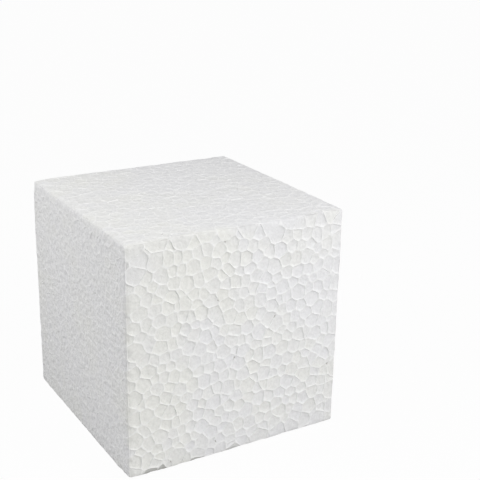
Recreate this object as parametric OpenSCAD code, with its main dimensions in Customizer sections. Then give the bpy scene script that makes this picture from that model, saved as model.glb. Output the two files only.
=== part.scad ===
// Block of white expanded-bead foam, square on all sides.
// Its beads swell against each other and against the faces: each bead shows as
// a shallow hollow with a raised rim where it is welded to its neighbours. A
// bead that lies across an edge of the block hollows that edge too, so the
// edges run in small scallops.
// The block stands on a plain flat base, centred on the origin, front towards -Y.

/* [Block] */
// Width of the block, left to right
block_w = 100; // [60:1:112]
// Depth of the block, front to back
block_d = 100; // [60:1:112]
// Height of the block
block_h = 100; // [60:1:112]

/* [Beads] */
// Distance between the middles of neighbouring beads
bead_pitch = 5; // [5:0.1:12]
// How far a bead starts from its even place in the packing, in pitches
bead_scatter = 0.4; // [0.05:0.01:0.45]
// How much the beads differ in size, as a share of the pitch
bead_spread = 0.17; // [0:0.01:0.2]
// Depth of the deepest hollows
dish_depth = 0.6; // [0.1:0.05:1.2]
// Depth of the deepest scallops along the edges of the block
scallop_depth = 0.3; // [0.05:0.05:1]
// Pattern of the packing: each number packs the beads another way
pack_no = 3; // [1:1:40]

/* [Wear] */
// How far the deepest chips reach in from the lower front edge
chip_depth = 1; // [0.1:0.1:3]

/* [Hidden] */

// Chips in the lower front edge, each shared out as if it were a small bead there:
// place along the edge from the middle of the block, height over the edge, radius of
// the bead, and depth as a share of the deepest
CHIPS = [[-38.9, 0.1, 2.1, 1], [-35, 0.2, 2.1, 1], [-19.7, 0, 1.8, 0.9], [-1.2, 0.2, 2.2, 0.5]];
// The shortest way from the middle of a chip to the end of its edge
CHIP_CLEAR = 4;
// Beads further from a chip than this, in pitches, can't meet it
CHIP_REACH = 3;
// The shallowest hollow, as a share of the deepest
SHALLOW = 0.35;
// The most beads in a row: past that a block has larger beads, so that its file stays light
MOST_ROWS = 20;
// How far every other row is staggered, each way, in pitches
STAGGER = 0.25;
// How far a bead's middle may lie from its even depth under a face, in pitches
UNDER_FACE = 0.12;
UNDER_EDGE = 0.2;
// Beads push apart where they are closer than this share of their radii together
SWELL = 1.3;
PUSH = 0.25;
PUSHES = 3;
// A bead that shows less than this share of a square pitch stays level with its rim
SMALL = 0.5;
// The shortest stretch of an edge that is scalloped, in pitches
SHORT = 0.3;
// Rim points are kept on a grid of this size, so that neighbouring hollows share them
GRAIN = 0.02;
TINY = 0.000001;

half = [block_w, block_d, block_h] / 2;
rows = [for (size = 2 * half) min(round(size / bead_pitch), MOST_ROWS)];
step = [for (i = [0 : 2]) 2 * half[i] / rows[i]];

// Outward direction of each hollowed face, with the two directions along it
FACES = [
    [[0, -1, 0], [1, 0, 0], [0, 0, 1]],
    [[1, 0, 0], [0, 1, 0], [0, 0, 1]],
    [[0, 1, 0], [-1, 0, 0], [0, 0, 1]],
    [[-1, 0, 0], [0, -1, 0], [0, 0, 1]],
    [[0, 0, 1], [1, 0, 0], [0, 1, 0]]
];

// Steps from a bead to those that may touch it, the nearest first
NEAR = [
    for (far = [1 : 8])
        for (a = [-2 : 2], b = [-2 : 2], c = [-2 : 2])
            if (a * a + b * b + c * c == far) [a, b, c]
];

// Even spread of numbers from 0 to 1, one for each place in the packing and each use
function noise(at, use) =
    let (x = sin(at * [127.1, 311.7, 74.7] + 61.3 * use + 17.9 * pack_no) * 43758.5453)
    x - floor(x);

// In which directions a bead lies against a face of the block
function against(at) = [for (i = [0 : 2]) at[i] == 0 || at[i] == rows[i] - 1];
function which(flags) = [for (i = [0 : 2]) if (flags[i]) i];
function either_way(row) = row % 2 == 0 ? -1 : 1;

// Which way a bead is staggered in direction i: every other row over the face, and every
// other bead along an edge, one way in one face and the other way in the other
function staggered(at, i) =
    let (walls = which(against(at)), last = (i + 2) % 3, next = (i + 1) % 3)
    !against(at)[i] || (len(walls) == 2 && !against(at)[last]) ? either_way(at[last]) :
    len(walls) == 2 ? -either_way(at[next]) :
    0;
function scatter(at, i) =
    !against(at)[i] ? bead_scatter : len(which(against(at))) == 1 ? UNDER_FACE : UNDER_EDGE;

// Middle and radius of the bead in rows at[0], at[1] and at[2], before it swells
function seed(at) = [
    [
        for (i = [0 : 2])
            (at[i] + 0.5 + STAGGER * staggered(at, i) + scatter(at, i) * (2 * noise(at, i) - 1))
            * step[i] - half[i]
    ],
    (0.5 + bead_spread * (2 * noise(at, 4) - 1)) * min(step)
];

// A bead pushed along its faces by the others that it touches
function pushed(beads, at) =
    let (
        me = beads[at[0]][at[1]][at[2]],
        moves = [
            for (n = NEAR)
                let (other = beads[at[0] + n[0]][at[1] + n[1]][at[2] + n[2]])
                if (other != undef)
                    let (away = me[0] - other[0], reach = SWELL * (me[1] + other[1]))
                    if (norm(away) < reach) away * (reach / norm(away) - 1)
        ],
        move = PUSH * total(concat([[0, 0, 0]], moves))
    )
    [me[0] + [for (i = [0 : 2]) against(at)[i] ? 0 : move[i]], me[1]];
function swollen(beads, times) =
    times == 0 ? beads :
    swollen(
        [
            for (i = [0 : rows[0] - 1]) [
                for (j = [0 : rows[1] - 1]) [
                    for (k = [0 : rows[2] - 1])
                        beads[i][j][k] == undef ? undef : pushed(beads, [i, j, k])
                ]
            ]
        ],
        times - 1
    );

// The beads that lie against a face of the block
BEADS = swollen(
    [
        for (i = [0 : rows[0] - 1]) [
            for (j = [0 : rows[1] - 1]) [
                for (k = [0 : rows[2] - 1])
                    len(which(against([i, j, k]))) == 0 ? undef : seed([i, j, k])
            ]
        ]
    ],
    PUSHES
);

// How deeply a bead is hollowed, as a share of the deepest
function hollow(at) = SHALLOW + (1 - SHALLOW) * noise(at, 3);

// A bead as a face sees it: its middle along the face, and its power there
function view(face, bead) =
    let (
        flat = [bead[0] * face[1], bead[0] * face[2]],
        off = bead[0] * face[0] - abs(face[0] * half)
    )
    [flat, flat * flat + off * off - bead[1] * bead[1]];

// Rows from the face out to a bead
function rows_out(face, at) = face[0] * at - max(face[0] * (rows - [1, 1, 1]), 0);

// Part of a convex outline where n * p <= limit
function clip(outline, n, limit) =
    let (over = [for (p = outline) n * p - limit])
    max(over) <= 0 ? outline :
    min(over) >= 0 ? [] :
    [
        for (i = [0 : len(outline) - 1])
            let (j = (i + 1) % len(outline), p = outline[i], q = outline[j])
            each concat(
                over[i] <= 0 ? [p] : [],
                over[i] * over[j] < 0 ? [p + (q - p) * over[i] / (over[i] - over[j])] : []
            )
    ];

// What is left of an outline once the others from number k on have taken their share
function share(outline, me, others, k = 0) =
    len(outline) == 0 || k == len(others) ? outline :
    share(
        clip(outline, 2 * (others[k][0] - me[0]), others[k][1] - me[1]),
        me, others, k + 1
    );

// A place along a face, kept on the grid, and off the edges of the block unless it lies on one
function gridded(x, reach) =
    abs(x) > reach - TINY ? sign(x) * reach :
    sign(x) * min(round(abs(x) / GRAIN) * GRAIN, reach - GRAIN);
// An outline's points on a face of the block
function on_face(outline, face, reach, out) = [
    for (p = outline)
        [gridded(p[0], reach[0]), gridded(p[1], reach[1]), out] * [face[1], face[2], face[0]]
];
function without_repeats(loop) =
    [for (i = [0 : len(loop) - 1]) if (norm(loop[i] - loop[(i + 1) % len(loop)]) > TINY) loop[i]];
function total(values) = [for (v = values) 1] * values;
function mean(values) = total(values) / len(values);
function area(loop) =
    norm(total([for (i = [2 : len(loop) - 1]) cross(loop[i - 1] - loop[0], loop[i] - loop[0])])) / 2;

// Where a point lies at the outside of the block, in each direction: -1, 0 or 1
function outside(p) = [for (i = [0 : 2]) abs(p[i]) > half[i] - TINY ? sign(p[i]) : 0];
// The same point moved into the block from each face it lies in, apart from the base
function sunk(p, depth) = let (out = outside(p)) p - depth * [out[0], out[1], max(out[2], 0)];

// How many faces of the block a point lies in
function faces_at(p) = outside(p) * outside(p);
// Two points a fair stretch apart lie along one edge of the block if they share two of its faces
function along_edge(p, q) =
    let (p_out = outside(p), q_out = outside(q))
    norm(q - p) > SHORT * bead_pitch
    && len([for (i = [0 : 2]) if (p_out[i] != 0 && p_out[i] == q_out[i]) i]) == 2;

// Rim of a hollow: level where it meets other beads, and sunk where it crosses an edge
function rim(depth, loop) = [
    for (i = [0 : len(loop) - 1])
        let (p = loop[i], q = loop[(i + 1) % len(loop)])
        each concat(
            [faces_at(p) == 3 ? sunk(p, depth) : p],
            along_edge(p, q) ? [sunk((p + q) / 2, depth * min(1, norm(q - p) / bead_pitch))] : []
        )
];

// Triangles from a rim down to the middle of its hollow
function fan(ring, low) = [for (i = [0 : len(ring) - 1]) [low, ring[(i + 1) % len(ring)], ring[i]]];

// Triangles of a bead's hollow
function dish(at, loop) =
    let (
        centre = mean(loop),
        reach = mean([for (p = loop) norm(p - centre)]),
        depth = hollow(at) * min(1, 2 * reach / bead_pitch)
    )
    fan(rim(scallop_depth * hollow(at), loop), sunk(centre, dish_depth * depth));

// The chips that lie well within the lower front edge, as the front face sees them: middle
// along the face, power there, and depth
chips = [
    for (c = CHIPS)
        let (flat = [c[0], c[1] - half[2]])
        if (abs(c[0]) < half[0] - CHIP_CLEAR)
            [flat, flat * flat - c[2] * c[2], c[3] * chip_depth]
];

// Triangles of a chip: it is deepest at the edge of the block
function chip(depth, loop) =
    let (
        low = [for (p = loop) if (p[2] < TINY - half[2]) p[0]],
        middle = [mean(low), -half[1] + depth, -half[2]],
        inner = mean(loop) + [0, depth / 2, 0]
    )
    [
        for (i = [0 : len(loop) - 1])
            let (p = loop[i], q = loop[(i + 1) % len(loop)])
            each max(p[2], q[2]) < TINY - half[2] ?
                [[inner, q, middle], [inner, middle, p]] :
                [[inner, q, p]]
    ];

// Triangles across a bead that is too small to be hollow
function level(loop) = [for (i = [2 : len(loop) - 1]) [loop[0], loop[i], loop[i - 1]]];

function is_small(loop) =
    max([for (p = loop) faces_at(p)]) == 1 && area(loop) < SMALL * pow(bead_pitch, 2);

// Triangles of all beads that show in a face
function beads(face) =
    let (
        reach = [abs(face[1] * half), abs(face[2] * half)],
        whole = [-reach, [reach[0], -reach[1]], reach, [-reach[0], reach[1]]],
        out = abs(face[0] * half),
        worn = face[0][1] < 0 ? chips : [],
        views = [
            for (i = [0 : rows[0] - 1]) [
                for (j = [0 : rows[1] - 1]) [
                    for (k = [0 : rows[2] - 1])
                        BEADS[i][j][k] == undef || abs(rows_out(face, [i, j, k])) > 1 ?
                            undef :
                            view(face, BEADS[i][j][k])
                ]
            ]
        ]
    )
    [
        for (i = [0 : rows[0] - 1], j = [0 : rows[1] - 1], k = [0 : rows[2] - 1])
            if (views[i][j][k] != undef)
                let (
                    others = [
                        for (n = NEAR)
                            let (v = views[i + n[0]][j + n[1]][k + n[2]])
                            if (v != undef) v
                    ],
                    left = share(whole, views[i][j][k], concat(others, worn)),
                    loop = without_repeats(on_face(left, face, reach, out))
                )
                if (len(loop) > 2)
                    each is_small(loop) ? level(loop) : dish([i, j, k], loop),
        for (c = worn)
            let (
                others = [
                    for (i = [0 : rows[0] - 1], j = [0 : rows[1] - 1], k = [0 : rows[2] - 1])
                        let (v = views[i][j][k])
                        if (v != undef && norm(v[0] - c[0]) < CHIP_REACH * max(step)) v
                ],
                rest = [for (o = worn) if (o != c) o],
                left = share(whole, c, concat(others, rest)),
                loop = without_repeats(on_face(left, face, reach, out))
            )
            if (len(loop) > 2)
                each min([for (p = loop) p[2]]) < TINY - half[2] ? chip(c[2], loop) : level(loop)
    ];

// Triangles from the middle of the base to the lower rims of the side faces
function base(skin) = [
    for (t = skin)
        if (max(t[1][2], t[2][2]) < TINY - half[2]) [[0, 0, -half[2]], t[2], t[1]]
];

module foam_block() {
    skin = [for (face = FACES) each beads(face)];
    triangles = concat(skin, base(skin));
    color([0.93, 0.93, 0.92])
        translate([0, 0, half[2]])
            polyhedron(
                points = [for (t = triangles) each t],
                faces = [for (i = [0 : len(triangles) - 1]) [3 * i, 3 * i + 1, 3 * i + 2]],
                convexity = 4
            );
}

foam_block();
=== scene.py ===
import collections
import math

import bmesh
import bpy
import numpy as np
from mathutils import Matrix, Vector, noise


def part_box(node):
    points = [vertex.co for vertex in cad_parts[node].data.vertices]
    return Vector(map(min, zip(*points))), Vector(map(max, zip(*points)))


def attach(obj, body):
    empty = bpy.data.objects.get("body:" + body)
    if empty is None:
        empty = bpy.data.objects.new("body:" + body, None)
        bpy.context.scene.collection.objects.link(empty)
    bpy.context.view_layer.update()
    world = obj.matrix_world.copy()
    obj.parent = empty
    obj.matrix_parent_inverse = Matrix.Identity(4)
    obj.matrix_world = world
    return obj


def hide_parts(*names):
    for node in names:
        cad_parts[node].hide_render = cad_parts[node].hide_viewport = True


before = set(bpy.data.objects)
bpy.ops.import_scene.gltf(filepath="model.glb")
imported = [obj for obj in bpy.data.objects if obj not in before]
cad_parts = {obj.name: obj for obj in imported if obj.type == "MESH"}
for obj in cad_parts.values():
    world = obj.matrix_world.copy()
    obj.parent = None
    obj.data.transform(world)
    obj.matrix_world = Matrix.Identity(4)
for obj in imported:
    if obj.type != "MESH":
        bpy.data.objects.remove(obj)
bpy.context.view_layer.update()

# Lengths of the beads and of the wear are in millimetres, and become metres where the mesh is
# made. Lengths in the materials, the lamps and the camera are in metres.
MM = 0.001
# Points closer than this, in metres, are welded
WELD = 0.0000001
# Points closer than this are one, and a point this close to a face lies in it
SAME = 1e-6
TINY = 1e-9

# The packing of the beads, as in the part's source: the distance between their middles, how far
# they are scattered and how much they differ in size, as shares of it, and the packing's number
BEAD_PITCH = 5
BEAD_SCATTER = 0.4
BEAD_SPREAD = 0.17
PACK_NO = 3
# The most beads in a row
MOST_ROWS = 20
# How far every other row is staggered, each way, in pitches
STAGGER = 0.25
# How far a bead's middle may lie from its even depth under a face or an edge, in pitches
UNDER_FACE = 0.12
UNDER_EDGE = 0.2
# Beads push apart where they are closer than this share of their radii together
SWELL = 1.3
PUSH = 0.25
PUSHES = 3
# What each number drawn for a bead is for, next to the three that scatter it
DEPTH_DRAW = 3
SIZE_DRAW = 4
LEAN_DRAWS = (5, 6, 7)
TINT_DRAW = 8
SPREADER = 43758.5453

# Small places where a bead's skin has come off the lower front edge: place along the edge from
# its middle, height over it, radius, depth, and how much painted shade darkens it, as if in shadow
Chip = collections.namedtuple("Chip", "place rise radius depth grey")
CHIPS = (
    Chip(-38.9, 0.1, 2.1, 0.5, 1.0),
    Chip(-35.0, 0.2, 2.1, 0.5, 0.9),
    Chip(-19.7, 0.0, 1.8, 0.4, 0.7),
    Chip(-1.2, 0.2, 2.2, 0.2, 0.35),
)
# A face is opened by the chips this close to it, and a chip meets the beads this close to it
CHIP_UNDER_FACE = 2
CHIP_REACH = 18

# Depth of the deepest hollows, and the shallowest as a share of it
DISH_DEPTH = 0.49
SHALLOW = 0.45
# How deep the hollows are in each pair of faces: left and right, front and back, top and bottom
DEPTH_SHARES = (0.48, 0.96, 0.46)
# Beads that show less than this across are shallower
SMALL_BEAD = 4
# The rings of points inside a rim: how far in they lie, how near the middle they may come, as a
# share of the way out to the rim, and how deep they are, in a hollow and in a chip
RING_INSETS = (0.28, 0.62)
RING_LEAST = (0.6, 0.3)
RING_DEPTHS = (0.8, 0.98)
CHIP_RING_DEPTHS = (0.8, 1.0)
LEAST_DEPTH = 0.02
# How often a ring is smoothed, how far apart the points of a rim are, and how a hollow leans
ROUNDINGS = 2
RIM_STEP = 1.25
TILT = 0.03
# How white a rim is where it crosses an edge of the block
EDGE_RIM = 0.35
# How rough the skin is in each pair of faces, and in the left one
CUT_GRAIN = (0.5, 0.3, 0.5)
LEFT_GRAIN = 0.9

# The noise starts from this number, so that each run gives the same block
NOISE_NO = 5
noise.seed_set(NOISE_NO)

# Waves in the skin, each with its size, its length and its number: the first two bend the
# outlines of the beads, and the next two roughen the hollows
Wave = collections.namedtuple("Wave", "size length number")
WARP = Wave(0.4, 3.6, 4.7)
RAGGED = Wave(0.34, 1.4, 9.1)
RIPPLE = Wave(0.12, 3.0, 11.3)
GRAIN = Wave(0.05, 1.1, 7.9)
# Outlines bend less from this near to an edge of the block
BEND_FADE = 2.5

# Pits where beads don't quite meet: how many junctions have one, how deep, and places that do
PIT_SHARE = 0.0015
PIT_DEPTH = 0.9
LEAST_PIT = 0.4
PIT_KEY = (12.9898, 78.233, 37.719)
PITS = (
    (-31.5, -50, -48.0),
    (49.5, -50, -16.0),
    (-2.0, -50, -6.5),
    (-50, -20.0, 21.0),
    (-50, -30.0, -36.0),
)

# The block's edges: radius, how much it changes along them, and how they are worn
EDGE_ROUND = 0.8
ROUND_CHANGE = Wave(0.35, 14, 21.7)
EDGE_WEAR = Wave(0.2, 3.2, 15.1)
WEAR_REACH = 0.9
# The edges that are worn the most: how much is added to the radius, and how far that reaches
SOFT_EDGES = (((-1, -1, 0), 0.6), ((-1, 0, 1), 1.0))
SOFT_REACH = 6
SMOOTH_ANGLE = 38

low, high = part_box("foam_block")
middle = (low + high) / 2
half = np.array((high - low) / 2) / MM
rows = [min(round(2 * h / BEAD_PITCH), MOST_ROWS) for h in half]
step = np.array([2 * h / n for h, n in zip(half, rows)])

# Outward direction of each face, with the two directions along it
FACES = (
    ((0, -1, 0), (1, 0, 0), (0, 0, 1)),
    ((1, 0, 0), (0, 1, 0), (0, 0, 1)),
    ((0, 1, 0), (-1, 0, 0), (0, 0, 1)),
    ((-1, 0, 0), (0, -1, 0), (0, 0, 1)),
    ((0, 0, 1), (1, 0, 0), (0, 1, 0)),
    ((0, 0, -1), (0, 1, 0), (1, 0, 0)),
)
# Steps from a bead to those that may touch it, the nearest first
SPAN = range(-2, 3)
FAR = 8
NEAR = [(a, b, c) for a in SPAN for b in SPAN for c in SPAN if 0 < a * a + b * b + c * c <= FAR]
NEAR.sort(key=lambda n: n[0] ** 2 + n[1] ** 2 + n[2] ** 2)


# ---------------------------------------------------------------- packing of the beads


def chance(at, draw):
    """A number from 0 to 1 for each place in the packing and each draw, as in the part's source."""
    turn = at[0] * 127.1 + at[1] * 311.7 + at[2] * 74.7 + 61.3 * draw + 17.9 * PACK_NO
    return (math.sin(math.radians(turn)) * SPREADER) % 1


def against(at):
    """Whether a bead lies against a face of the block, in each direction."""
    return [at[i] in (0, rows[i] - 1) for i in range(3)]


def either_way(row):
    return 1 if row % 2 else -1


def staggered(at, i):
    """Which way a bead is staggered in direction i."""
    walls = against(at)
    last, following = (i + 2) % 3, (i + 1) % 3
    if not walls[i] or (sum(walls) == 2 and not walls[last]):
        return either_way(at[last])
    return -either_way(at[following]) if sum(walls) == 2 else 0


def bead_seed(at):
    """Middle and radius of a bead before it swells."""
    walls = against(at)
    place = []
    for i in range(3):
        scatter = UNDER_FACE if sum(walls) == 1 else UNDER_EDGE
        if not walls[i]:
            scatter = BEAD_SCATTER
        move = STAGGER * staggered(at, i) + scatter * (2 * chance(at, i) - 1)
        place.append((at[i] + 0.5 + move) * step[i] - half[i])
    radius = (0.5 + BEAD_SPREAD * (2 * chance(at, SIZE_DRAW) - 1)) * min(step)
    return np.array(place), radius


def swollen_beads():
    """Middle and radius of each bead that lies against a face, once they have pushed apart."""
    places = [(i, j, k) for i in range(rows[0]) for j in range(rows[1]) for k in range(rows[2])]
    beads = {at: bead_seed(at) for at in places if any(against(at))}
    touching = {
        at: [near for near in (tuple(np.add(at, n)) for n in NEAR) if near in beads]
        for at in beads
    }
    for _ in range(PUSHES):
        moved = {}
        for at, (place, radius) in beads.items():
            others = np.array([beads[near][0] for near in touching[at]])
            reach = SWELL * (radius + np.array([beads[near][1] for near in touching[at]]))
            away = place - others
            far = np.linalg.norm(away, axis=1)
            push = np.maximum(reach / far - 1, 0) @ away
            moved[at] = (place + PUSH * np.where(against(at), 0, push), radius)
        beads = moved
    return beads


def chip_beads():
    """Each chip as a small bead on the lower front edge: {number: (middle, radius)}."""
    return {
        i: (np.array((chip.place, -half[1], chip.rise - half[2])), chip.radius)
        for i, chip in enumerate(CHIPS)
    }


def clip(outline, nx, ny, limit):
    """The part of a convex outline where (nx, ny) times the point is at most limit."""
    over = [nx * x + ny * y - limit for x, y in outline]
    if max(over) <= 0:
        return outline
    kept = []
    for i, (x, y) in enumerate(outline):
        j = (i + 1) % len(outline)
        if over[i] <= 0:
            kept.append((x, y))
        if over[i] * over[j] < 0:
            t = over[i] / (over[i] - over[j])
            kept.append((x + (outline[j][0] - x) * t, y + (outline[j][1] - y) * t))
    return kept


def shared_out(outline, own, others):
    """What a bead gets of an outline next to the others, each as (across, up, power)."""
    x, y, power = own
    for other in others:
        if len(outline) > 2:
            nx, ny = 2 * (other[0] - x), 2 * (other[1] - y)
            outline = clip(outline, nx, ny, other[2] - power)
    return outline


def reached(own, others):
    """Those of the others that are close enough to meet it, where a chip is one of the two."""
    return [o for o in others if abs(o[0] - own[0]) + abs(o[1] - own[1]) < CHIP_REACH]


def cut_beads(face, beads):
    """The outlines that a face shows, as points of the block, by place in the packing.

    A chip's outline is found by the chip's number."""
    out, u, v = (np.array(d) for d in face)
    reach_u, reach_v = abs(u @ half), abs(v @ half)
    level = abs(out @ half)
    deepest = max(out @ (np.array(rows) - 1), 0)
    whole = [(-reach_u, -reach_v), (reach_u, -reach_v), (reach_u, reach_v), (-reach_u, reach_v)]

    def in_face(place, radius):
        x, y, off = float(u @ place), float(v @ place), float(out @ place - level)
        return x, y, x * x + y * y + off * off - radius * radius

    packed = {
        at: in_face(*bead) for at, bead in beads.items() if abs(out @ at - deepest) <= 1
    }
    chips = {
        i: in_face(*chip)
        for i, chip in chip_beads().items()
        if out @ chip[0] > max(level - CHIP_UNDER_FACE, 0)
    }
    outlines = {}
    for at, own in packed.items():
        near = [packed.get((at[0] + n[0], at[1] + n[1], at[2] + n[2])) for n in NEAR]
        others = [other for other in near if other] + reached(own, chips.values())
        outlines[at] = shared_out(whole, own, others)
    for i, own in chips.items():
        others = [*packed.values(), *(other for j, other in chips.items() if j != i)]
        outlines[i] = shared_out(whole, own, reached(own, others))
    return {
        at: [x * u + y * v + level * out for x, y in outline]
        for at, outline in outlines.items()
        if len(outline) > 2
    }


# ---------------------------------------------------------------- the skin of hollowed beads


def on_an_edge(p):
    """Whether a point lies on an edge of the block, so in two faces at once."""
    return (np.abs(p) > half - SAME).sum() > 1


class Skin:
    """Collects the points and faces of all hollows, in millimetres from the middle of the block."""

    def __init__(self):
        self.flat = []
        self.depth = []
        self.rim = []
        self.chips = []
        self.faces = []
        self.tones_and_shades = []
        self.cuts = []

    def point(self, p, depth, rim, chip=False):
        self.flat.append(p)
        self.depth.append(depth)
        self.rim.append(rim)
        self.chips.append(chip)
        return len(self.flat) - 1

    def face(self, corners, tone_and_shade, cut):
        self.faces.append(corners)
        self.tones_and_shades.append(tone_and_shade)
        self.cuts.append(cut)

    def rim_ring(self, rim):
        return [self.point(p, 0.0, EDGE_RIM if on_an_edge(p) else 1.0) for p, height in rim]

    def close(self, rings, closed, pole, depth, tone_and_shade, cut, chip=False):
        """Joins the rings of a hollow to each other, and the last one to its middle."""
        count = len(rings[0])
        sides = count if closed else count - 1
        for outer, inner in zip(rings, rings[1:]):
            for i in range(sides):
                j = (i + 1) % count
                self.face((outer[i], outer[j], inner[j], inner[i]), tone_and_shade, cut)
        centre = self.point(pole, depth, 0.0, chip)
        for i in range(sides):
            self.face((rings[-1][i], rings[-1][(i + 1) % count], centre), tone_and_shade, cut)


def middle_of(loop):
    """The middle of an outline, and its area."""
    weights = [
        np.linalg.norm(np.cross(p - loop[0], q - loop[0])) for p, q in zip(loop[1:], loop[2:])
    ]
    thirds = [(loop[0] + p + q) / 3 for p, q in zip(loop[1:], loop[2:])]
    return sum(w * t for w, t in zip(weights, thirds)) / sum(weights), sum(weights) / 2


def rim_of(loop, pole, opening):
    """Points along the sides of a bead, each with its side's distance from the pole.

    Where a chip is open, at the block's edge, the points run from one end of the opening round to
    the other."""
    rim = []
    for p, q in zip(loop, loop[1:] + loop[:1]):
        if opening and max(np.abs(p - q)[1:]) < SAME and on_an_edge(p):
            rim.append((p, None))
            continue
        length = float(np.linalg.norm(q - p))
        along = (q - p) / np.linalg.norm(q - p)
        height = float(np.linalg.norm(np.cross(pole - p, along)))
        count = max(1, round(length / RIM_STEP))
        rim += [(p + (q - p) * i / count, height) for i in range(count)]
    shut = [i for i, (p, height) in enumerate(rim) if height is None]
    if not shut:
        return rim, True
    start = (shut[-1] + 1) % len(rim)
    return [rim[(start + i) % len(rim)] for i in range(len(rim))], False


def ring_inside(rim, pole, closed, inset, least):
    """A smoothed ring of points, this far inside a rim."""
    count = len(rim)
    places = []
    for i, (p, height) in enumerate(rim):
        heights = [h for h in (height, rim[i - 1][1]) if h]
        if not closed and i in (0, count - 1):
            heights = [float(np.linalg.norm(p - pole))]
        places.append(pole + (p - pole) * max(1 - inset * len(heights) / sum(heights), least))
    for _ in range(ROUNDINGS):
        places = [
            0.5 * p + 0.25 * (places[i - 1] + places[(i + 1) % count])
            if closed or 0 < i < count - 1
            else p
            for i, p in enumerate(places)
        ]
    return places


def grain_of(axis, pole):
    return LEFT_GRAIN if axis == 0 and pole[0] < 0 else CUT_GRAIN[axis]


def hollow_bead(skin, at, loop, axis):
    """Adds one bead's hollow in one face: rings from its rim down to its middle."""
    pole, area = middle_of(loop)
    depth = DISH_DEPTH * (SHALLOW + (1 - SHALLOW) * chance(at, DEPTH_DRAW))
    depth *= min(1, 2 * math.sqrt(area / math.pi) / SMALL_BEAD)
    depth *= DEPTH_SHARES[axis]
    lean = TILT * np.array([2 * chance(at, draw) - 1 for draw in LEAN_DRAWS])
    rim, closed = rim_of(loop, pole, False)
    rings = [skin.rim_ring(rim)]
    for inset, least, share in zip(RING_INSETS, RING_LEAST, RING_DEPTHS):
        places = ring_inside(rim, pole, closed, inset, least)
        depths = [max(LEAST_DEPTH, depth * share + float(lean @ (p - pole))) for p in places]
        rings.append([skin.point(p, sunk, 0.0) for p, sunk in zip(places, depths)])
    skin.close(rings, closed, pole, depth, chance(at, TINT_DRAW), grain_of(axis, pole))


def open_chip(skin, number, loop, axis):
    """Adds a chip's part in one face, which slants in towards the block's lower front edge."""
    chip = CHIPS[number]
    x = [p[0] for p in loop if abs(p[1] + half[1]) + abs(p[2] + half[2]) < SAME]
    pole = np.array(((min(x) + max(x)) / 2, -half[1], -half[2]))
    top = max(p[2] for p in loop) + half[2] + TINY
    depth = 0.0 if axis == 2 else chip.depth
    rim, closed = rim_of(loop, pole, True)
    rings = [skin.rim_ring(rim)]
    for inset, least, share in zip(RING_INSETS, RING_LEAST, CHIP_RING_DEPTHS):
        ring = []
        for p in ring_inside(rim, pole, closed, inset, least):
            sunk = depth * min(share, 1 - (p[2] + half[2]) / top)
            if on_an_edge(p):
                sunk = chip.depth * share
            ring.append(skin.point(p, sunk, 0.0, True))
        rings.append(ring)
    # A chip's tone number, 1 and up, carries how much painted shade darkens it, as if in shadow
    # where it faces down
    skin.close(rings, closed, pole, chip.depth, 1 + chip.grey, grain_of(axis, pole), True)


def bead_skin():
    beads = swollen_beads()
    skin = Skin()
    for face in FACES:
        axis = int(np.argmax(np.abs(face[0])))
        for at, loop in cut_beads(face, beads).items():
            add = open_chip if isinstance(at, int) else hollow_bead
            add(skin, at, loop, axis)
    return skin


# ---------------------------------------------------------------- wear and the finished mesh


def waves(places, wave):
    """Smooth noise from -1 to 1 in each direction, at each place."""
    shift = Vector((wave.number, 2 * wave.number, 3 * wave.number))
    return np.array([noise.noise_vector(Vector(p) / wave.length + shift) for p in places])


def junction_pits(flat, rim):
    """How deep the gap is where beads meet, at the few places that have one."""
    key = np.round(flat @ np.array(PIT_KEY), 3)
    lot = np.abs(np.sin(key) * SPREADER) % 1
    depths = PIT_DEPTH * (LEAST_PIT + (1 - LEAST_PIT) * lot / PIT_SHARE)
    pits = np.where((rim > 0) & (lot < PIT_SHARE), depths, 0)
    for spot in PITS:
        far = np.linalg.norm(flat - np.array(spot), axis=1) + 100 * (rim == 0)
        pits[far < far.min() + 1e-3] = PIT_DEPTH
    return pits


def softness(flat):
    """How much rounder the block is worn near the edges that are worn the most."""
    soft = np.zeros(len(flat))
    for edge, amount in SOFT_EDGES:
        away = np.linalg.norm((flat - np.array(edge) * half) * np.abs(edge), axis=1)
        soft = np.maximum(soft, amount * np.exp(-((away / SOFT_REACH) ** 2)))
    return soft[:, None]


def rounded(flat):
    """The points of the block once its edges are worn round, and the way out of it at each."""
    radius = EDGE_ROUND * (1 + ROUND_CHANGE.size * waves(flat, ROUND_CHANGE)[:, :1])
    radius = radius + softness(flat)
    core = np.clip(flat, radius - half, half - radius)
    way = (flat - core) / np.linalg.norm(flat - core, axis=1)[:, None]
    return core + radius * way, way


def worn_away(flat):
    """How much is worn off near the edges of the block."""
    to_edge = np.sort(half - np.abs(flat), axis=1)[:, 1:2]
    wear = EDGE_WEAR.size * np.exp(-((to_edge / WEAR_REACH) ** 2))
    wear = wear * (0.5 + waves(flat, EDGE_WEAR)[:, :1])
    return np.clip(wear * (1 + softness(flat)), 0, None)


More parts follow.
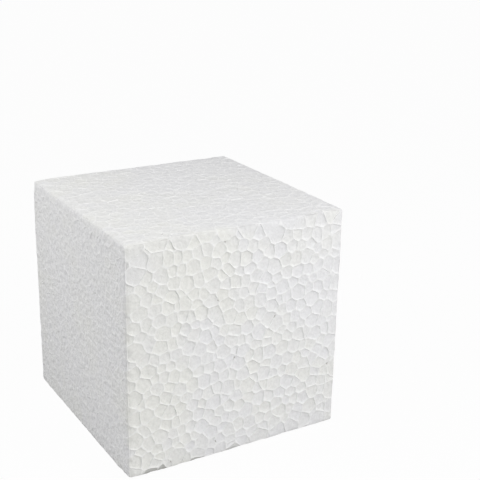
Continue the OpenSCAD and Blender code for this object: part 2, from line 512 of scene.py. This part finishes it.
def bead_block():
    """The whole block, as one closed skin of hollowed beads."""
    skin = bead_skin()
    flat = np.array(skin.flat)
    rim = np.array(skin.rim)
    pits = junction_pits(flat, rim)
    ripple = RIPPLE.size * (0.5 + 0.5 * waves(flat, RIPPLE)[:, :1])
    ripple += GRAIN.size * (0.5 + 0.5 * waves(flat, GRAIN)[:, :1])
    sunk = np.array(skin.depth)[:, None] + ripple + pits[:, None]
    sunk = sunk + worn_away(flat)
    bent = WARP.size * waves(flat, WARP) + RAGGED.size * waves(flat, RAGGED)
    fade = np.clip((half - np.abs(flat)) / BEND_FADE, 0, 1)
    place, out = rounded(flat + fade * bent)
    place = place - np.where(np.array(skin.chips)[:, None], (0, -1, 0), out) * sunk

    mesh = bpy.data.meshes.new("bead_block")
    mesh.from_pydata(((place * MM) + np.array(middle)).tolist(), [], skin.faces)
    for name, domain, values in (
        ("bead_tone_and_chip_shade", "FACE", skin.tones_and_shades),
        ("skin_grain", "FACE", skin.cuts),
        ("bead_rim", "POINT", rim),
        ("bead_pit", "POINT", pits / PIT_DEPTH),
    ):
        mesh.attributes.new(name, "FLOAT", domain).data.foreach_set("value", values)
    block = bpy.data.objects.new("bead_block", mesh)
    bpy.context.scene.collection.objects.link(block)
    bpy.ops.object.select_all(action="DESELECT")
    block.select_set(True)
    bpy.context.view_layer.objects.active = block
    welded = bmesh.new()
    welded.from_mesh(mesh)
    bmesh.ops.remove_doubles(welded, verts=welded.verts, dist=WELD)
    bmesh.ops.recalc_face_normals(welded, faces=welded.faces)
    welded.to_mesh(mesh)
    welded.free()
    bpy.ops.object.shade_smooth_by_angle(angle=math.radians(SMOOTH_ANGLE))
    return block


# ---------------------------------------------------------------- the foam's colour and skin

LILAC_WHITE = (0.837, 0.836, 0.845, 1)
CREAM_WHITE = (0.848, 0.848, 0.814, 1)
RIM_WHITE = (0.973, 0.972, 0.968, 1)
# Painted shade near the floor
FLOOR_SHADE_GREY = (0.52, 0.52, 0.49, 1)
# Painted shade for the chips, which face down
CHIP_SHADE_GREY = (0.56, 0.56, 0.54, 1)
# Painted shade in the pits
PIT_SHADE_COLOUR = (0.3, 0.28, 0.25, 1)
# How much each bead, each patch and a rim show, and how much painted shade shows in a chip,
# low on the sides and in a pit
BEAD_SHARE = 0.45
PATCH_SHARE = 0.6
RIM_SHARE = 0.65
CHIP_SHADE_SHARE = 0.8
FLOOR_SHADE_SHARE = 0.4
PIT_SHADE_SHOWS = 0.9
# How far creamy and lilac patches reach, and how they change from one to the other
PATCH_SCALE = 24.0
PATCH_TURN = (0.35, 0.65)
# The front is creamier at its left end, and the faces other than the front are more even
SUNNED = 0.35
SUNNED_ENDS = (-0.05, 0.02)
LEFT_SKIN = (-0.0497, -0.049)
UNSUNNED = 0.6
FRONT_SKIN = (-0.047, -0.0495)
# Faint light and dark mottling
MOTTLE = 0.035
MOTTLE_SCALE = 900.0
MOTTLE_TURN = (0.3, 0.7)
# Painted shade lies low on the sides near the floor, in patches, and thinner under the block than
# along its edges
FLOOR_SHADE_HEIGHT = 0.0016
FLOOR_SHADE_SCALE = 120.0
FLOOR_SHADE_TURN = (0.3, 0.6)
THIN_FLOOR_SHADE = 0.4
UNDER_FLOOR_SHADE = 0.2
UNDER_EDGES = (0.046, 0.049)
# Painted shade in a pit starts this far down and is full this far down, as shares of its depth
PIT_SHADE_TURN = (0.15, 0.8)
# The tiny cells of the skin, its grain, and how high both stand
CELL_SCALE = 4200.0
CELL_HEIGHT = 0.06
GRAIN_SCALE = 500.0
GRAIN_HEIGHT = 14.0
SKIN_HEIGHT = 0.0001
FINE_DETAIL = 3.0
# How rough the foam is, from place to place
ROUGHNESS = (0.68, 0.86)
ROUGH_SCALE = 350.0
ROUGH_TURN = (0.3, 0.7)
SHINE = 0.35


class Nodes:
    """Adds nodes to a tree, each with its inputs given by name, as values or as sockets."""

    def __init__(self, tree):
        self.tree = tree

    def add(self, kind, output=0, setting=None, **values):
        node = self.tree.nodes.new(kind)
        for name, value in (setting or {}).items():
            setattr(node, name, value)
        for name, value in values.items():
            socket = node.inputs[int(name[1:]) if name[1:].isdigit() else name.replace("_", " ")]
            if isinstance(value, bpy.types.NodeSocket):
                self.tree.links.new(value, socket)
            else:
                socket.default_value = value
        return node.outputs[output]

    def math(self, operation, first, second=0.0):
        return self.add("ShaderNodeMath", setting={"operation": operation}, _0=first, _1=second)

    def ramp(self, value, start, end, low=0.0, high=1.0):
        return self.add(
            "ShaderNodeMapRange",
            setting={"interpolation_type": "SMOOTHSTEP"},
            Value=value,
            From_Min=start,
            From_Max=end,
            To_Min=low,
            To_Max=high,
        )

    def mix(self, share, first, second, blend="MIX"):
        setting = {"data_type": "RGBA", "blend_type": blend}
        return self.add("ShaderNodeMix", 2, setting, _0=share, _6=first, _7=second)

    def grey(self, value):
        return self.add("ShaderNodeCombineColor", _0=value, _1=value, _2=value)

    def split(self, place):
        """The three parts of a place."""
        first = self.add("ShaderNodeSeparateXYZ", Vector=place)
        return first, first.node.outputs[1], first.node.outputs[2]

    def attribute(self, name):
        return self.add("ShaderNodeAttribute", "Fac", {"attribute_name": name})

    def noise(self, place, scale, detail=2.0):
        return self.add("ShaderNodeTexNoise", Vector=place, Scale=scale, Detail=detail)


def bead_colour(tree, place, x, y, own):
    """Each bead is a little creamier or bluer than the next, and so is each part of the block."""
    patch = tree.ramp(tree.noise(place, PATCH_SCALE), *PATCH_TURN, -0.5, 0.5)
    share = tree.math("ADD", tree.math("MULTIPLY", own, BEAD_SHARE), 0.5 - BEAD_SHARE / 2)
    share = tree.math("ADD", share, tree.math("MULTIPLY", patch, PATCH_SHARE))
    share = tree.math("ADD", share, tree.ramp(x, *SUNNED_ENDS, SUNNED, -SUNNED))
    share = tree.math("ADD", share, tree.ramp(x, *LEFT_SKIN, -SUNNED, 0.0))
    share = tree.math("MULTIPLY", share, tree.ramp(y, *FRONT_SKIN, UNSUNNED, 1.0))
    colour = tree.mix(tree.ramp(share, 0.0, 1.0), LILAC_WHITE, CREAM_WHITE)
    mottle = tree.noise(place, MOTTLE_SCALE, FINE_DETAIL)
    mottle = tree.ramp(mottle, *MOTTLE_TURN, 1 - MOTTLE, 1 + MOTTLE)
    return tree.mix(1.0, colour, tree.grey(mottle), "MULTIPLY")


def rims_and_painted_shade(tree, place, across, height, own, colour):
    """The rims where beads fused are whiter, and painted shade darkens chips, low sides and pits.
    """
    rim = tree.attribute("bead_rim")
    colour = tree.mix(tree.math("MULTIPLY", rim, RIM_SHARE), colour, RIM_WHITE)
    # Painted shade: a chip is darkened grey, as if in shadow where it faces down
    chip = tree.math("MULTIPLY", tree.ramp(own, 1.0, 2.0), CHIP_SHADE_SHARE)
    chip = tree.math("MULTIPLY", chip, tree.math("SUBTRACT", 1.0, rim))
    colour = tree.mix(chip, colour, CHIP_SHADE_GREY)
    # Painted shade: the sides are darker in patches low down near the floor
    patches = tree.ramp(tree.noise(place, FLOOR_SHADE_SCALE), *FLOOR_SHADE_TURN, THIN_FLOOR_SHADE, 1.0)
    floor_shade = tree.math("MULTIPLY", tree.ramp(height, 0.0, FLOOR_SHADE_HEIGHT, FLOOR_SHADE_SHARE, 0.0), patches)
    floor_shade = tree.math("MULTIPLY", floor_shade, tree.ramp(across, *UNDER_EDGES, UNDER_FLOOR_SHADE, 1.0))
    colour = tree.mix(floor_shade, colour, FLOOR_SHADE_GREY)
    # Painted shade: the pits are darkened, as if in shadow
    pit_shade = tree.ramp(tree.attribute("bead_pit"), *PIT_SHADE_TURN)
    return tree.mix(tree.math("MULTIPLY", pit_shade, PIT_SHADE_SHOWS), colour, PIT_SHADE_COLOUR)


def skin_bump(tree, place):
    """The skin of each bead is made of tiny closed cells, and has a grain."""
    cells = tree.add(
        "ShaderNodeTexVoronoi", "Distance", {"feature": "SMOOTH_F1"}, Vector=place, Scale=CELL_SCALE
    )
    grain = tree.noise(place, GRAIN_SCALE, FINE_DETAIL)
    grain = tree.math("MULTIPLY", grain, tree.attribute("skin_grain"))
    cells = tree.math("MULTIPLY", cells, CELL_HEIGHT)
    grain = tree.math("MULTIPLY", grain, GRAIN_HEIGHT)
    height = tree.math("ADD", cells, grain)
    return tree.add("ShaderNodeBump", Strength=1.0, Distance=SKIN_HEIGHT, Height=height)


def foam_material():
    material = bpy.data.materials.new("white_bead_foam")
    material.use_nodes = True
    tree = Nodes(material.node_tree)
    links = material.node_tree.links
    shader = material.node_tree.nodes["Principled BSDF"]
    place = tree.add("ShaderNodeTexCoord", "Object")
    x, y, height = tree.split(place)
    across = tree.math("MAXIMUM", tree.math("ABSOLUTE", x), tree.math("ABSOLUTE", y))
    own = tree.attribute("bead_tone_and_chip_shade")
    colour = bead_colour(tree, place, x, y, own)
    colour = rims_and_painted_shade(tree, place, across, height, own, colour)
    rough = tree.ramp(tree.noise(place, ROUGH_SCALE), *ROUGH_TURN, *ROUGHNESS)
    links.new(colour, shader.inputs["Base Color"])
    links.new(rough, shader.inputs["Roughness"])
    links.new(skin_bump(tree, place), shader.inputs["Normal"])
    shader.inputs["Specular IOR Level"].default_value = SHINE
    return material


block = bead_block()
block.data.materials.append(foam_material())
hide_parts("foam_block")
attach(block, "root")


# ---------------------------------------------------------------- floor, light and camera

FLOOR_SIZE = 6
FLOOR_GREY = (0.6, 0.6, 0.6, 1)
# How much of the white shows where the floor is seen
FLOOR_LIFT = 0.97
SKY_WHITE = (1, 1, 1, 1)
SKY_LEVEL = 0.335
# The lamps: name, direction from the block, distance, size and level
LAMPS = (
    ("key", (0.36, -0.58, 0.72), 0.55, 0.2, 0.255),
    ("front", (0.22, -0.87, 0.44), 0.55, 0.35, 0.35),
    ("left", (-0.78, 0.15, 0.6), 0.45, 0.14, 0.39),
)
# The camera: where it looks from, in degrees, its place from the block's middle, in sides of the
# block, and its lens
AZIMUTH = -31.11
ELEVATION = 19.3
ROLL = 1.15
SIDE = 0.1
CAMERA_PLACE = (-1.873, -3.6, 1.71)
LENS = 72.95
SENSOR = 36


def seen_rays(tree):
    """1 where a surface is seen by the camera, or in gloss or glass."""
    camera_ray = tree.add("ShaderNodeLightPath", "Is Camera Ray")
    seen = camera_ray
    for ray in ("Is Glossy Ray", "Is Transmission Ray"):
        seen = tree.math("MAXIMUM", seen, camera_ray.node.outputs[ray])
    return seen


def pale_floor():
    """A pale floor that looks white, and still takes the block's shadow."""
    material = bpy.data.materials.new("pale_floor")
    material.use_nodes = True
    material.node_tree.nodes.clear()
    tree = Nodes(material.node_tree)
    pale = tree.add("ShaderNodeBsdfDiffuse", Color=FLOOR_GREY)
    white = tree.add("ShaderNodeEmission")
    lift = tree.math("MULTIPLY", seen_rays(tree), FLOOR_LIFT)
    blend = tree.add("ShaderNodeMixShader", _0=lift, _1=pale, _2=white)
    output = material.node_tree.nodes.new("ShaderNodeOutputMaterial")
    material.node_tree.links.new(blend, output.inputs["Surface"])
    bpy.ops.mesh.primitive_plane_add(size=FLOOR_SIZE, location=(0, 0, 0))
    floor = bpy.context.object
    floor.name = "floor"
    floor.data.materials.append(material)
    return floor


def studio_sky():
    """Even light from all round, seen as white."""
    world = bpy.data.worlds.new("studio")
    bpy.context.scene.world = world
    world.use_nodes = True
    tree = Nodes(world.node_tree)
    sky = world.node_tree.nodes["Background"]
    sky.inputs["Color"].default_value = SKY_WHITE
    level = tree.add("ShaderNodeMapRange", Value=seen_rays(tree), To_Min=SKY_LEVEL, To_Max=1.0)
    world.node_tree.links.new(level, sky.inputs["Strength"])


def soft_box(name, towards, distance, size, level):
    """A square lamp that faces the middle of the block and lights it at this level."""
    data = bpy.data.lights.new(name, "AREA")
    data.shape = "SQUARE"
    data.size = size
    data.energy = level * (math.pi * distance) ** 2
    lamp = bpy.data.objects.new(name, data)
    way = Vector(towards).normalized()
    lamp.rotation_euler = way.to_track_quat("Z", "Y").to_euler()
    lamp.location = middle + way * distance
    bpy.context.scene.collection.objects.link(lamp)


def studio_camera():
    azimuth, elevation, roll = (math.radians(turn) for turn in (AZIMUTH, ELEVATION, ROLL))
    back = Vector(
        (
            math.sin(azimuth) * math.cos(elevation),
            -math.cos(azimuth) * math.cos(elevation),
            math.sin(elevation),
        )
    )
    right = Vector((0, 0, 1)).cross(back).normalized()
    up = back.cross(right)
    right, up = (
        math.cos(roll) * right + math.sin(roll) * up,
        -math.sin(roll) * right + math.cos(roll) * up,
    )
    data = bpy.data.cameras.new("camera")
    data.lens = LENS
    data.sensor_width = SENSOR
    camera = bpy.data.objects.new("camera", data)
    bpy.context.scene.collection.objects.link(camera)
    place = middle + Vector(CAMERA_PLACE) * SIDE
    turned = Matrix((right, up, back)).transposed().to_4x4()
    camera.matrix_world = Matrix.Translation(place) @ turned
    bpy.context.scene.camera = camera


floor = pale_floor()
studio_sky()
for lamp in LAMPS:
    soft_box(*lamp)
studio_camera()
bpy.context.scene.view_settings.view_transform = "Standard"
